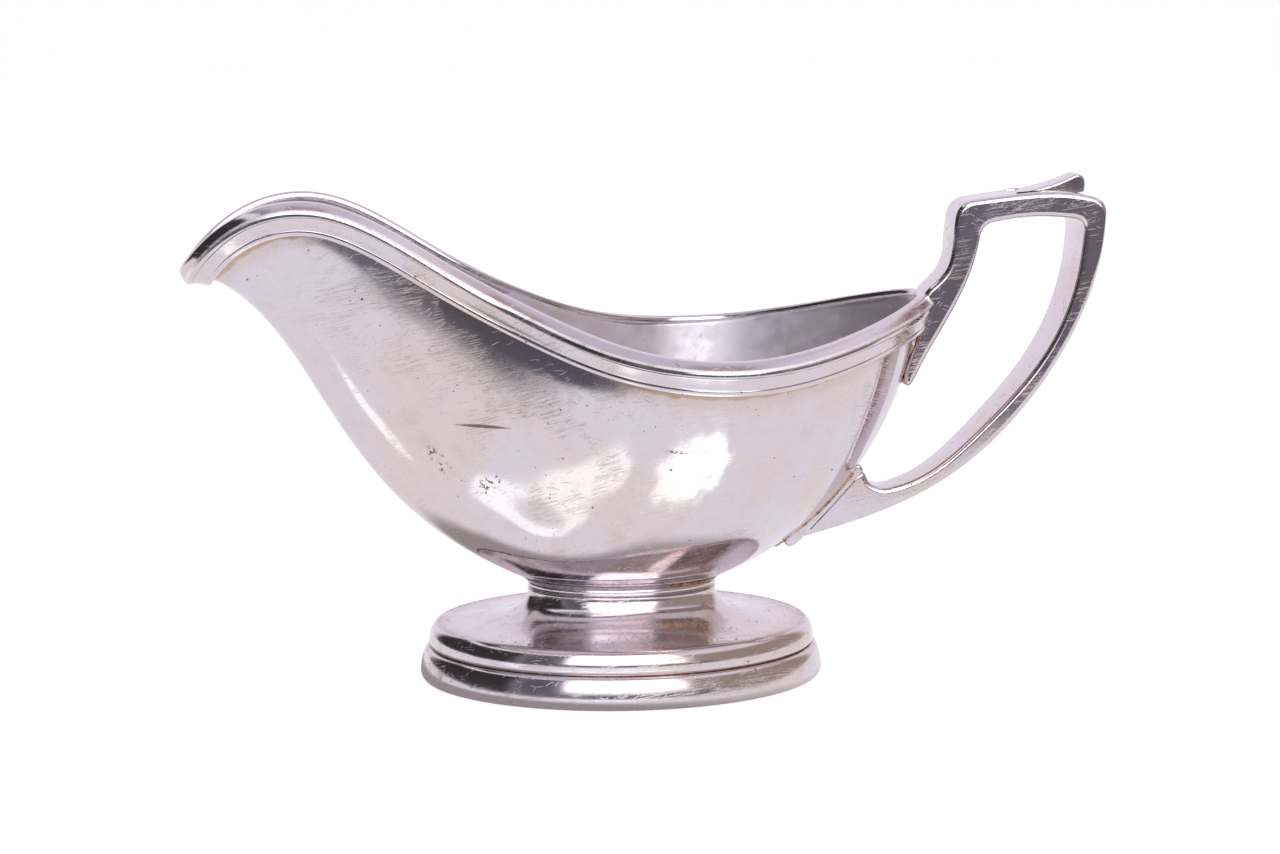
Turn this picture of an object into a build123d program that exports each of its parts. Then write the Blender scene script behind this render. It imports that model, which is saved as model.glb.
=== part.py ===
from build123d import *
import math
import os

# Gravy boat, silver-plated hotel ware. Millimetres, +Z up, -X towards the spout, +X towards the handle.
# The origin is the centre of the foot's underside, and the whole object is symmetric about the plane Y = 0.

# --- bowl -------------------------------------------------------------------------------------------------
WALL_THICKNESS = 1.2        # sheet metal of the bowl
LIP_COVER = 1.0             # how far the border's lip reaches above the wall's top edge
NECK_LENGTH = 40.0          # oval where the bowl meets its collar
NECK_WIDTH = 24.4
NECK_TOP = 21.3             # height of the bowl's underside at the neck

# Control points of the rim, a closed cubic B-spline: the near half, from the spout's tip to the handle.
RIM = [(-93.3, 0, 88.5), (-92, -7.5, 91.2), (-82, -13, 102.5), (-61.5, -15, 107), (-37, -11.5, 90.5),
       (-19, -17.5, 81.5), (-3, -30.5, 75), (14.5, -40, 73), (32.5, -37, 74), (52, -24, 79),
       (64.5, -8, 83), (65.3, 0, 83)]

# The wall runs down from each rim control point to the neck as a cubic Bezier curve in an upright plane.
RIM_SLOPE = [8, 22, 54, 68.5, 91.5, 90.5, 85.5, 84, 82, 82, 82, 82]  # degrees below level, at the rim
RIM_PULL = [30, 32, 42, 47, 46, 42, 39, 38, 40, 44, 49, 49]     # length of the Bezier handle at the rim
NECK_SLOPE = [21, 22, 24, 26, 26, 26, 26, 24, 24, 24, 24, 24]   # degrees above level, at the neck
NECK_PULL = [51, 49, 43, 36, 26, 18, 14, 12, 10, 8, 7, 7]       # length of the Bezier handle at the neck

# Below a shoulder the wall leans inwards by this share of its run, and comes back out towards the neck.
SHOULDER_LEAN = [0, 0, 0.046, 0.08, 0.123, 0.119, 0.007, 0, 0, 0, 0, 0]
SHOULDER_DEPTH = 8.4        # from the crown down to the shoulder
SHOULDER_TURN = 4.0         # over which the lean sets in

WALL_STEPS = 48             # steps in which a meridian of the wall is worked out
WALL_STRIDE = 4             # every so many of them is a point of its spline
WALL_SECTIONS_PER_SPAN = 2
BORDER_SECTIONS_PER_SPAN = 3

# --- applied border round the outside of the mouth --------------------------------------------------------
# Its section, as (distance out from the wall, distance down from the crown): lip, flat band, lower bead.
BORDER_SECTION = [(-1.0, 2.0), (-1.22, 1.2), (-1.1, 0.45), (-0.6, 0.08), (0.1, 0.0), (0.8, 0.14), (1.5, 0.62),
                  (2.1, 1.2), (2.5, 1.7), (2.8, 2.5), (2.86, 3.0), (2.4, 3.4), (2.3, 5.3), (2.55, 5.65),
                  (2.62, 6.15), (2.4, 6.65), (1.7, 6.95), (-0.5, 7.0)]

# --- foot -------------------------------------------------------------------------------------------------
FOOT_ASPECT = 0.87          # growth of the foot's half width for each millimetre of its half length
DISH_DEPTH = 4.2            # how far the bowl's bottom sinks into the neck
DISH_RINGS = 8
COLLAR_BOTTOM = 19.4
COLLAR_BULGE = 0.5
COLLAR_WALL = 2.0
STEM_HALF_LENGTH = 20.4     # at the collar
DOME_HALF_LENGTH = 39.4     # at the ridge
DOME_EDGE = 12.1            # height of the ridge
BAND_TOP = 6.8              # joint between the stamped foot and its base band
FOOT_WALL = 1.4

# --- handle -----------------------------------------------------------------------------------------------
HANDLE_TAPER_START = 36.0   # X where the casting is narrowest
HANDLE_WIDTH_AT_BOWL = 5.0  # across, at the taper's start
HANDLE_BACK = 103.8         # X of the rear corner
HANDLE_WIDTH_AT_BACK = 17.4  # across, at the rear corner
THUMB_WIDTH_FRONT = 9.5
THUMB_WIDTH_TIP = 7.0
FLANGE_WIDTH = 9.0          # across, where the lower end is soldered to the bowl
SOLDER_THICKNESS = 0.5
SMALLEST_PIECE = 0.5        # cubic millimetres; anything smaller is a crumb of the trimming


def mirror_ring(near_values, flip):
    """Close a list given for the near half with the far half, run back to the start."""
    far_values = [flip(value) for value in near_values[-2:0:-1]]
    return list(near_values) + far_values


def spline_weights(fraction):
    f = fraction
    return ((1 - f) ** 3 / 6,
            (3 * f ** 3 - 6 * f ** 2 + 4) / 6,
            (-3 * f ** 3 + 3 * f ** 2 + 3 * f + 1) / 6,
            f ** 3 / 6)


def slope_weights(fraction):
    f = fraction
    return (-(1 - f) ** 2 / 2,
            (3 * f ** 2 - 4 * f) / 2,
            (-3 * f ** 2 + 2 * f + 1) / 2,
            f ** 2 / 2)


def on_ring(ring, u, weights):
    """Value of the closed uniform cubic B-spline through the ring's control values."""
    start = math.floor(u)
    total = ring[0] * 0
    for step, weight in enumerate(weights(u - start)):
        total = total + ring[(start - 1 + step) % len(ring)] * weight
    return total


RIM_RING = mirror_ring([Vector(*p) for p in RIM], lambda v: Vector(v.X, -v.Y, v.Z))
SLOPE_RING = mirror_ring(RIM_SLOPE, float)
PULL_RING = mirror_ring(RIM_PULL, float)
LEAN_RING = mirror_ring(SHOULDER_LEAN, float)
NECK_SLOPE_RING = mirror_ring(NECK_SLOPE, float)
NECK_PULL_RING = mirror_ring(NECK_PULL, float)
RIM_END = len(RIM) - 1      # the spline's parameter at the handle; 0 is the spout's tip


def wall_curve(u, inset=0.0, cover=LIP_COVER):
    """The four Bezier points of the wall below rim parameter u, moved inwards by inset."""
    rim = on_ring(RIM_RING, u, spline_weights)
    turn = math.atan2(rim.Y / NECK_WIDTH, rim.X / NECK_LENGTH)
    foot = Vector(NECK_LENGTH / 2 * math.cos(turn), NECK_WIDTH / 2 * math.sin(turn), NECK_TOP)
    reach = Vector(rim.X - foot.X, rim.Y - foot.Y, 0)
    outwards = reach.normalized()
    slope = math.radians(on_ring(SLOPE_RING, u, spline_weights))
    rise = math.radians(on_ring(NECK_SLOPE_RING, u, spline_weights))
    down = outwards * -math.cos(slope) + Vector(0, 0, -math.sin(slope))
    up = outwards * math.cos(rise) + Vector(0, 0, math.sin(rise))
    rim_inwards = outwards * -math.sin(slope) + Vector(0, 0, math.cos(slope))
    crown = rim + rim_inwards * inset
    end = foot + Vector(0, 0, inset / math.cos(rise))
    return (crown + down * cover,
            crown + down * on_ring(PULL_RING, u, spline_weights),
            end + up * on_ring(NECK_PULL_RING, u, spline_weights),
            end)


def rim_frame(u):
    """Crown point of the rim, with the directions along it, down the wall and out from the wall."""
    points = wall_curve(u, cover=0.0)
    along = on_ring(RIM_RING, u, slope_weights).normalized()
    down = (points[1] - points[0]).normalized()
    down = (down - along * down.dot(along)).normalized()
    return points[0], along, down, down.cross(along)


def bezier(points, t):
    a, b, c, d = points
    return a * (1 - t) ** 3 + b * (3 * t * (1 - t) ** 2) + c * (3 * t ** 2 * (1 - t)) + d * t ** 3


def eased(value, low, high):
    """0 up to low, 1 from high on, with a soft start and end between them."""
    share = min(max((value - low) / (high - low), 0), 1)
    return share * share * (3 - 2 * share)


def wall_points(u, inset):
    """Points down the wall, with the inward lean below its shoulder."""
    curve = wall_curve(u, inset)
    line = [bezier(curve, i / WALL_STEPS) for i in range(WALL_STEPS + 1)]
    depths = [LIP_COVER]
    for above, below in zip(line, line[1:]):
        depths.append(depths[-1] + (below - above).length)
    full = depths[-1]
    leans = [eased(depth, SHOULDER_DEPTH, SHOULDER_DEPTH + SHOULDER_TURN)
             - eased(depth, 0.5 * full, 0.72 * full) for depth in depths]
    rim = on_ring(RIM_RING, u, spline_weights)
    outwards = Vector(rim.X - curve[3].X, rim.Y - curve[3].Y, 0).normalized()
    slant = on_ring(LEAN_RING, u, spline_weights)
    shift = 0.0
    points = [line[0]]
    for i in range(1, WALL_STEPS + 1):
        shift += (leans[i] + leans[i - 1]) / 2 * (depths[i] - depths[i - 1])
        share = slant * (1 - eased(depths[i], 0.6 * full, full))
        points.append(line[i] - outwards * (shift * share))
    return points[::WALL_STRIDE]


def wall_section(u, inner, outer):
    """One planar slice of the wall between two insets."""
    outside = wall_points(u, outer)
    inside = wall_points(u, inner)
    return Wire([Edge.make_spline(outside),
                 Edge.make_line(outside[-1], inside[-1]),
                 Edge.make_spline(inside[::-1]),
                 Edge.make_line(inside[0], outside[0])])


def largest(shape):
    """The piece itself, without the crumbs that trimming against a neighbour leaves."""
    return max(shape.solids(), key=lambda solid: solid.volume)


def near_half(section_at, per_span):
    count = RIM_END * per_span
    return Solid.make_loft([section_at(RIM_END * i / count) for i in range(count + 1)])


def both_halves(near):
    return near.fuse(near.mirror(Plane.XZ)).clean()


def dish():
    """Solid cap whose underside carries the curve of the walls on across the neck."""
    rings = []
    for i in range(DISH_RINGS + 1):
        reach = 0.06 + 0.94 * i / DISH_RINGS
        height = NECK_TOP - DISH_DEPTH * (1 - reach ** 2)
        rings.append(Pos(0, 0, height) * Ellipse(NECK_LENGTH / 2 * reach, NECK_WIDTH / 2 * reach))
    return loft(rings, ruled=True).solid()


def bowl():
    near = near_half(lambda u: wall_section(u, WALL_THICKNESS, 0.0), WALL_SECTIONS_PER_SPAN)
    rim_overlap = Pos(0, 0, NECK_TOP) * extrude(Ellipse(NECK_LENGTH / 2 + 0.3, NECK_WIDTH / 2 + 0.3), 0.9)
    floor = dish().fuse(rim_overlap.solid()).cut(Pos(0, 0, WALL_THICKNESS) * dish())
    return both_halves(near).fuse(floor)


def border_section(u):
    crown, _, down, out = rim_frame(u)
    corners = [crown + out * n + down * d for n, d in BORDER_SECTION]
    return Wire.make_polygon(corners, close=True)


def rim_border_near(bowl_solid):
    return largest(near_half(border_section, BORDER_SECTIONS_PER_SPAN).cut(bowl_solid))


def half_width(half_length):
    return NECK_WIDTH / 2 + (half_length - NECK_LENGTH / 2) * FOOT_ASPECT


def oval(half_length, height):
    return Pos(0, 0, height) * Ellipse(half_length, half_width(half_length))


def oval_solid(profile):
    """Stack of ovals, each (half length, height), joined by straight flanks."""
    return loft([oval(length, height) for length, height in profile], ruled=True).solid()


def neck_collar(bowl_solid):
    middle = (COLLAR_BOTTOM + NECK_TOP) / 2
    half = NECK_LENGTH / 2
    outside = oval_solid([(half + 0.2, COLLAR_BOTTOM), (half + COLLAR_BULGE, middle), (half, NECK_TOP)])
    inside = oval_solid([(half - COLLAR_WALL, COLLAR_BOTTOM), (half - COLLAR_WALL, NECK_TOP)])
    return largest(outside.cut(inside).cut(bowl_solid))


def stem_profile():
    """Concave sweep from the collar out to the ridge, as half length and height."""
    points = []
    for i in range(13):
        fraction = (i / 12) ** 2
        length = STEM_HALF_LENGTH + (DOME_HALF_LENGTH - STEM_HALF_LENGTH) * fraction
        height = DOME_EDGE + (COLLAR_BOTTOM - DOME_EDGE) * (1 - math.sqrt(fraction)) ** 2
        points.append((length, height))
    return points


def foot():
    ovolo = [(40.2, 11.95), (40.7, 11.6), (41.25, 10.9), (41.6, 10.1), (41.82, 9.2), (41.92, 8.2), (41.7, 7.3),
             (41.3, BAND_TOP)]
    profile = stem_profile() + ovolo
    inner = [(length - FOOT_WALL, height - FOOT_WALL) for length, height in profile if height > DOME_EDGE - 2]
    inner.append((ovolo[-1][0] - FOOT_WALL, BAND_TOP))
    neck_hole = oval_solid([(STEM_HALF_LENGTH - FOOT_WALL, DOME_EDGE), (STEM_HALF_LENGTH - FOOT_WALL, 25.0)])
    return oval_solid(profile).cut(oval_solid(inner)).cut(neck_hole)


def foot_base_band():
    outside = oval_solid([(41.5, BAND_TOP), (42.3, 6.65), (43.0, 5.6), (43.3, 4.6), (43.55, 3.5), (43.78, 1.9),
                          (43.68, 1.0), (43.35, 0.4), (42.8, 0.0)])
    inside = oval_solid([(39.8, BAND_TOP), (40.6, 0.0)])
    return outside.cut(inside)


def side_plate(edges, half_depth):
    """A flat outline in the XZ plane, made thick across Y."""
    return extrude(Plane.XZ * make_face(edges), half_depth, both=True).solid()


def tapered(start, end, front_width, back_width):
    """A tall wedge seen from above, front_width across at X = start and back_width across at X = end."""
    a = front_width / 2
    b = back_width / 2
    plan = Polyline((start, -a), (end, -b), (end, b), (start, a), close=True)
    return extrude(make_face(plan), 120).solid()


def handle_casting(bowl_solid, borders):
    """Tab, upright, arm, bow and lower web: one casting."""
    tab_end = (62.9, 63.9)
    inner_front = (77.1, 97.6)
    inner_back = (98.8, 98.6)
    web_inner = (55.6, 39.9)
    web_tip = (37.4, 29.0)
    back_corner = (103.6, 102.9)
    front_corner = (71.8, 102.4)
    lip_top = (65.6, 83.8)
    outline = [
        Spline(tab_end, (64.6, 67.4), (69.9, 77.1), (75.3, 89.2), inner_front),
        ThreePointArc(inner_front, (88.0, 99.2), inner_back),
        Spline(inner_back, (97.8, 87.8), (91.9, 71.3), (77.3, 53.4), (62.0, 41.7), web_inner),
        Polyline(web_inner, (53.4, 41.9), (52.5, 44.3), (50.4, 43.6), (38.2, 30.6), web_tip),
        Spline(web_tip, (54.0, 34.3), (71.5, 43.3), (86.1, 57.1), (98.7, 78.0), (103.2, 95.0), back_corner),
        Spline(back_corner, (95.0, 104.4), (85.0, 104.1), front_corner),
        Spline(front_corner, (70.9, 96.0), (69.6, 88.2), lip_top),
        Polyline(lip_top, (64.4, 82.0), (64.0, 77.0), (63.0, 72.0), (61.0, 66.5), (60.6, 64.0), (61.0, 62.9),
                 (62.0, 62.6), tab_end),
    ]
    plate = side_plate(outline, HANDLE_WIDTH_AT_BACK / 2)
    wedge = tapered(HANDLE_TAPER_START - 2, HANDLE_BACK, HANDLE_WIDTH_AT_BOWL, HANDLE_WIDTH_AT_BACK)
    casting = plate.intersect(wedge).solid()
    for neighbour in [bowl_solid] + borders:
        casting = largest(casting.cut(neighbour))
    return casting


def thumb_piece(handle):
    front = (84.0, 103.6)
    tip_top = (98.4, 108.1)
    tip_back = (100.5, 106.0)
    back = (100.3, 103.4)
    outline = [
        Spline(front, (88.5, 104.9), (93.3, 106.2), tip_top),
        ThreePointArc(tip_top, (99.9, 107.4), tip_back),
        Polyline(tip_back, back, front),
    ]
    plate = side_plate(outline, THUMB_WIDTH_FRONT / 2)
    wedge = tapered(front[0] - 1, tip_back[0] + 1, THUMB_WIDTH_FRONT, THUMB_WIDTH_TIP)
    return plate.intersect(wedge).solid().cut(handle)


def lower_mount_flange(bowl_solid, handle):
    """Pad that carries the handle's lower web on the curve of the bowl."""
    outline = Polyline((50.6, 45.7), (51.6, 45.6), (52.3, 44.4), (44.6, 35.9), (38.9, 29.7), (37.2, 28.1),
                       (35.6, 28.0), (34.9, 29.2), (42.0, 36.4), close=True)
    pad = side_plate(outline, FLANGE_WIDTH / 2)
    return largest(largest(pad.cut(bowl_solid)).cut(handle))


def solder_film(start_u, thickness):
    """A thin layer on the outside of the bowl's back, from rim parameter start_u round to the far side."""
    count = 4
    span = RIM_END - start_u
    sections = [wall_section(start_u + span * i / count, 0.0, -thickness) for i in range(count + 1)]
    return both_halves(Solid.make_loft(sections))


def facing_back(outline):
    """An outline in the YZ plane, carried through everything behind X = 20."""
    return extrude(Plane.YZ.offset(20) * make_face(outline), 70).solid()


def upper_handle_solder(film, neighbours):
    """Solder drawn out on both sides of the handle's tab, narrowing to its tip."""
    fillet = film.intersect(facing_back(Polyline((-7.0, 76.5), (7.0, 76.5), (0, 60.5), close=True)))
    return trimmed(fillet.solids(), neighbours)


def lower_handle_solder(film, neighbours):
    half = FLANGE_WIDTH / 2 + 1.2
    outline = Polyline((-half, 44.0), (half, 44.0), (half - 1.5, 28.0), (1.5 - half, 28.0), close=True)
    return trimmed(film.intersect(facing_back(outline)).solids(), neighbours)


def neck_solder(bowl_solid, collar):
    half = NECK_LENGTH / 2
    ring = oval_solid([(half + 0.3, NECK_TOP - 0.5), (half + 1.5, NECK_TOP + 0.6)])
    hole = oval_solid([(half - 0.5, NECK_TOP - 0.5), (half - 0.5, NECK_TOP + 0.6)])
    return trimmed(ring.cut(hole).solids(), [bowl_solid, collar])


def trimmed(solids, neighbours):
    """The solids fitted against their neighbours, without crumbs."""
    for neighbour in neighbours:
        solids = [piece for solid in solids for piece in solid.cut(neighbour).solids()]
    return Compound([solid for solid in solids if solid.volume > SMALLEST_PIECE])


def main():
    os.makedirs("parts", exist_ok=True)
    bowl_solid = bowl()
    near_border = rim_border_near(bowl_solid)
    far_border = near_border.mirror(Plane.XZ)
    handle = handle_casting(bowl_solid, [near_border, far_border])
    collar = neck_collar(bowl_solid)
    flange = lower_mount_flange(bowl_solid, handle)
    film = solder_film(RIM_END - 3, SOLDER_THICKNESS)
    parts = {
        "bowl": bowl_solid,
        "rim_border_near": near_border,
        "rim_border_far": far_border,
        "neck_collar": collar,
        "neck_solder": neck_solder(bowl_solid, collar),
        "foot": foot(),
        "foot_base_band": foot_base_band(),
        "handle": handle,
        "thumb_piece": thumb_piece(handle),
        "lower_mount_flange": flange,
        "upper_handle_solder": upper_handle_solder(film, [bowl_solid, handle, near_border, far_border]),
        "lower_handle_solder": lower_handle_solder(film, [bowl_solid, handle, flange]),
    }
    for name, shape in parts.items():
        export_step(shape, f"parts/{name}.step")


if __name__ == "__main__":
    main()
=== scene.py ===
import math

import bmesh
import bpy
import numpy as np
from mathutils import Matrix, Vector
from mathutils.geometry import delaunay_2d_cdt


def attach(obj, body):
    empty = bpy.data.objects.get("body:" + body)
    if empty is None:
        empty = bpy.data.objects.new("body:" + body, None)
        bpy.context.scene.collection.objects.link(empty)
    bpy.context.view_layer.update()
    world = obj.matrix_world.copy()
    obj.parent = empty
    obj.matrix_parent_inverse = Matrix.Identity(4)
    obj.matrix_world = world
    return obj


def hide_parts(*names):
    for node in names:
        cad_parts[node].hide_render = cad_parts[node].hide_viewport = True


# Looks of a silver-plated gravy boat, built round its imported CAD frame.
# Lengths are in millimetres until mesh_object() turns them into the frame's metres.
# -X is the spout, +X the handle, and the object is symmetric about Y = 0.

MM = 0.001

# --- driving dimensions, after the CAD part's -----------------------------------------------------
WALL_THICKNESS = 1.2
LIP_COVER = 1.0
NECK_LENGTH = 40.0
NECK_WIDTH = 24.4
NECK_TOP = 21.3
DISH_DEPTH = 4.2

# Rim control points of the near half, with the wall's slope and Bezier handles below each of them.
RIM = [(-93.3, 0, 88.5), (-92, -7.5, 91.2), (-82, -13, 102.5), (-61.5, -15, 107), (-37, -11.5, 90.5),
       (-19, -17.5, 81.5), (-3, -30.5, 75), (14.5, -40, 73), (32.5, -37, 74), (52, -24, 79),
       (64.5, -8, 83), (65.3, 0, 83)]
RIM_SLOPE = [8, 22, 54, 68.5, 91.5, 90.5, 85.5, 84, 82, 82, 82, 82]
RIM_PULL = [30, 32, 42, 47, 46, 42, 39, 38, 40, 44, 49, 49]
NECK_SLOPE = [21, 22, 24, 26, 26, 26, 26, 24, 24, 24, 24, 24]
NECK_PULL = [51, 49, 43, 36, 26, 18, 14, 12, 10, 8, 7, 7]
SHOULDER_LEAN = [0, 0, 0.046, 0.08, 0.123, 0.119, 0.007, 0, 0, 0, 0, 0]
SHOULDER_DEPTH = 8.4
SHOULDER_TURN = 4.0
RIM_END = len(RIM) - 1

FOOT_ASPECT = 0.87
COLLAR_BOTTOM = 19.4
COLLAR_WALL = 1.6            # 2.0 in the CAD part
STEM_HALF_LENGTH = 20.4
DOME_HALF_LENGTH = 39.4
DOME_EDGE = 12.1
BAND_TOP = 6.8
FOOT_WALL = 1.4

HANDLE_TAPER_START = 34.0    # 36.0 in the CAD part
HANDLE_WIDTH_AT_BOWL = 5.0
HANDLE_BACK = 103.8
HANDLE_WIDTH_AT_BACK = 17.4
FLANGE_WIDTH = 9.0
THUMB_START = 84.0
THUMB_WIDTH = 9.5
THUMB_TAPER = 0.16

# --- how finely the pieces are meshed -------------------------------------------------------------
STEPS_PER_RIM_SPAN = 18
WALL_STEPS = 72
DISH_STEPS = 14
FOOT_SEGMENTS = 288
EDGE_RADIUS = 1.15          # rounding of the handle's edges
EDGE_STEPS = 6
THUMB_EDGE = 0.6
FLANGE_EDGE = 0.55
CHEEK_BORDER = 0.12         # flat strip round a cheek, which keeps its shading flat


# --- curves ---------------------------------------------------------------------------------------
def mirror_ring(near_values, flip=lambda value: value):
    """The near half's control values closed with the far half, run back to the start."""
    return np.array(list(near_values) + [flip(value) for value in near_values[-2:0:-1]], float)


RIM_RING = mirror_ring(RIM, lambda p: (p[0], -p[1], p[2]))
SLOPE_RING = mirror_ring(RIM_SLOPE)
PULL_RING = mirror_ring(RIM_PULL)
NECK_SLOPE_RING = mirror_ring(NECK_SLOPE)
LEAN_RING = mirror_ring(SHOULDER_LEAN)
NECK_PULL_RING = mirror_ring(NECK_PULL)


def on_ring(ring, u, along=False):
    """Closed uniform cubic B-spline through control values; with along, its derivative."""
    start = math.floor(u)
    f = u - start
    weights = ((1 - f) ** 3 / 6, (3 * f ** 3 - 6 * f ** 2 + 4) / 6,
               (-3 * f ** 3 + 3 * f ** 2 + 3 * f + 1) / 6, f ** 3 / 6)
    if along:
        weights = (-(1 - f) ** 2 / 2, (3 * f ** 2 - 4 * f) / 2, (-3 * f ** 2 + 2 * f + 1) / 2, f ** 2 / 2)
    return sum(ring[(start - 1 + step) % len(ring)] * weight for step, weight in enumerate(weights))


def unit(vector):
    return vector / np.linalg.norm(vector)


def wall_curve(u, inset=0.0, cover=LIP_COVER):
    """The four Bezier points of the wall below rim parameter u, moved inwards by inset."""
    rim = on_ring(RIM_RING, u)
    turn = math.atan2(rim[1] / NECK_WIDTH, rim[0] / NECK_LENGTH)
    foot = np.array([NECK_LENGTH / 2 * math.cos(turn), NECK_WIDTH / 2 * math.sin(turn), NECK_TOP])
    outwards = unit(np.array([rim[0] - foot[0], rim[1] - foot[1], 0.0]))
    upright = np.array([0.0, 0.0, 1.0])
    slope = math.radians(on_ring(SLOPE_RING, u))
    rise = math.radians(on_ring(NECK_SLOPE_RING, u))
    down = -outwards * math.cos(slope) - upright * math.sin(slope)
    up = outwards * math.cos(rise) + upright * math.sin(rise)
    crown = rim + (-outwards * math.sin(slope) + upright * math.cos(slope)) * inset
    end = foot + upright * inset / math.cos(rise)
    return np.array([crown + down * cover, crown + down * on_ring(PULL_RING, u),
                     end + up * on_ring(NECK_PULL_RING, u), end])


def bezier(points, t):
    a, b, c, d = points
    return a * (1 - t) ** 3 + b * 3 * t * (1 - t) ** 2 + c * 3 * t ** 2 * (1 - t) + d * t ** 3


def eased(value, low, high):
    share = np.clip((value - low) / (high - low), 0, 1)
    return share * share * (3 - 2 * share)


def wall_line(u, inset):
    """Points down the wall, leaning inwards below the shoulder and back out again towards the neck."""
    curve = wall_curve(u, inset)
    line = np.array([bezier(curve, t) for t in np.linspace(0, 1, WALL_STEPS + 1)])
    steps = np.linalg.norm(np.diff(line, axis=0), axis=1)
    depth = LIP_COVER + np.concatenate([[0], np.cumsum(steps)])
    full = depth[-1]
    lean = eased(depth, SHOULDER_DEPTH, SHOULDER_DEPTH + SHOULDER_TURN)
    lean = lean - eased(depth, 0.5 * full, 0.72 * full)
    shift = np.concatenate([[0], np.cumsum((lean[1:] + lean[:-1]) / 2 * steps)])
    shift = shift * (1 - eased(depth, 0.6 * full, full)) * on_ring(LEAN_RING, u)
    rim = on_ring(RIM_RING, u)
    outwards = unit(np.array([rim[0] - curve[3][0], rim[1] - curve[3][1], 0.0]))
    return list(line - outwards * shift[:, None])


def rim_frame(u):
    """Crown point of the rim, with the directions down the wall and out from it."""
    points = wall_curve(u, cover=0.0)
    along = unit(on_ring(RIM_RING, u, along=True))
    down = unit(points[1] - points[0])
    down = unit(down - along * down.dot(along))
    return points[0], down, np.cross(down, along)


def through(points, step=0.8):
    """Smooth curve through points: a natural cubic spline over chord length."""
    points = np.array(points, float)
    chord = np.linalg.norm(np.diff(points, axis=0), axis=1)
    count = len(points)
    matrix = np.eye(count)
    right = np.zeros_like(points)
    for i in range(1, count - 1):
        matrix[i, i - 1:i + 2] = chord[i - 1], 2 * (chord[i - 1] + chord[i]), chord[i]
        right[i] = 6 * ((points[i + 1] - points[i]) / chord[i] - (points[i] - points[i - 1]) / chord[i - 1])
    bend = np.linalg.solve(matrix, right)
    curve = []
    for i in range(count - 1):
        steps = max(2, int(chord[i] / step))
        for s in np.arange(steps) / steps:
            a = (1 - s) * chord[i]
            b = s * chord[i]
            curve.append(bend[i] * a ** 3 / (6 * chord[i]) + bend[i + 1] * b ** 3 / (6 * chord[i])
                         + (points[i] / chord[i] - bend[i] * chord[i] / 6) * a
                         + (points[i + 1] / chord[i] - bend[i + 1] * chord[i] / 6) * b)
    curve.append(points[-1])
    return [tuple(p) for p in curve]


def rounded(corners, radius, steps=5):
    """A closed outline of (x, z) corners, each cut back and rounded by radius."""
    corners = [np.array(c, float) for c in corners]
    outline = []
    for i, corner in enumerate(corners):
        before = corners[i - 1] - corner
        after = corners[(i + 1) % len(corners)] - corner
        reach = min(radius, 0.45 * np.linalg.norm(before), 0.45 * np.linalg.norm(after))
        start = corner + unit(before) * reach
        end = corner + unit(after) * reach
        for t in np.linspace(0, 1, steps + 1):
            outline.append(tuple(start * (1 - t) ** 2 + corner * 2 * t * (1 - t) + end * t ** 2))
    return outline


# --- meshes ---------------------------------------------------------------------------------------
def mesh_object(name, points, faces, attributes=None):
    """A smooth-shaded object from points in millimetres; attributes holds one value for each point."""
    mesh = bpy.data.meshes.new(name)
    mesh.from_pydata((np.array(points) * MM).tolist(), [], faces)
    for key, values in (attributes or {}).items():
        layer = mesh.attributes.new(key, "FLOAT", "POINT")
        layer.data.foreach_set("value", np.array(values, np.float32))
    work = bmesh.new()
    work.from_mesh(mesh)
    bmesh.ops.remove_doubles(work, verts=work.verts, dist=0.002 * MM)
    bmesh.ops.recalc_face_normals(work, faces=work.faces)
    work.to_mesh(mesh)
    work.free()
    mesh.polygons.foreach_set("use_smooth", [True] * len(mesh.polygons))
    thing = bpy.data.objects.new(name, mesh)
    bpy.context.scene.collection.objects.link(thing)
    return thing


def grid_faces(rows, columns, close_rows=False, close_columns=False):
    """Quads between the points of a grid that is stored row by row."""
    faces = []
    for i in range(rows if close_rows else rows - 1):
        for j in range(columns if close_columns else columns - 1):
            a = i * columns + j
            b = i * columns + (j + 1) % columns
            c = ((i + 1) % rows) * columns + (j + 1) % columns
            d = ((i + 1) % rows) * columns + j
            faces.append((a, b, c, d))
    return faces


def oval_point(half_length, angle, height):
    """A point on the foot's oval of that half length; the ovals keep one distance from the neck's."""
    half_width = NECK_WIDTH / 2 + (half_length - NECK_LENGTH / 2) * FOOT_ASPECT
    return (half_length * math.cos(angle), half_width * math.sin(angle), height)


def oval_piece(name, section):
    """A ring of the foot: the closed section (half length, height) carried round its ovals."""
    points = []
    for i in range(FOOT_SEGMENTS):
        angle = 2 * math.pi * i / FOOT_SEGMENTS
        points += [oval_point(length, angle, height) for length, height in section]
    faces = grid_faces(FOOT_SEGMENTS, len(section), close_rows=True, close_columns=True)
    return mesh_object(name, points, faces)


def bowl():
    """Outside and inside of the wall, each running on across the neck, joined at the top edge."""
    rows = len(RIM_RING) * STEPS_PER_RIM_SPAN
    points = []
    below_rim = []
    inside = []
    for i in range(rows):
        u = i / STEPS_PER_RIM_SPAN
        for inset, order in ((0.0, 1), (WALL_THICKNESS, -1)):
            line = wall_line(u, inset)
            end = line[-1]
            for reach in np.linspace(1, 0, DISH_STEPS + 1)[1:]:
                drop = DISH_DEPTH * (1 - reach ** 2)
                line.append(np.array([end[0] * reach, end[1] * reach, end[2] - drop]))
            depth = [0.0] + list(np.cumsum([np.linalg.norm(b - a) for a, b in zip(line, line[1:])]))
            points += line[::-order]
            below_rim += depth[::-order]
            inside += [1.0 if inset else 0.0] * len(line)
    columns = 2 * (WALL_STEPS + 1 + DISH_STEPS)
    faces = grid_faces(rows, columns, close_rows=True)
    return mesh_object("bowl_shell", points, faces, {"below_rim": below_rim, "inside": inside})


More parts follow.
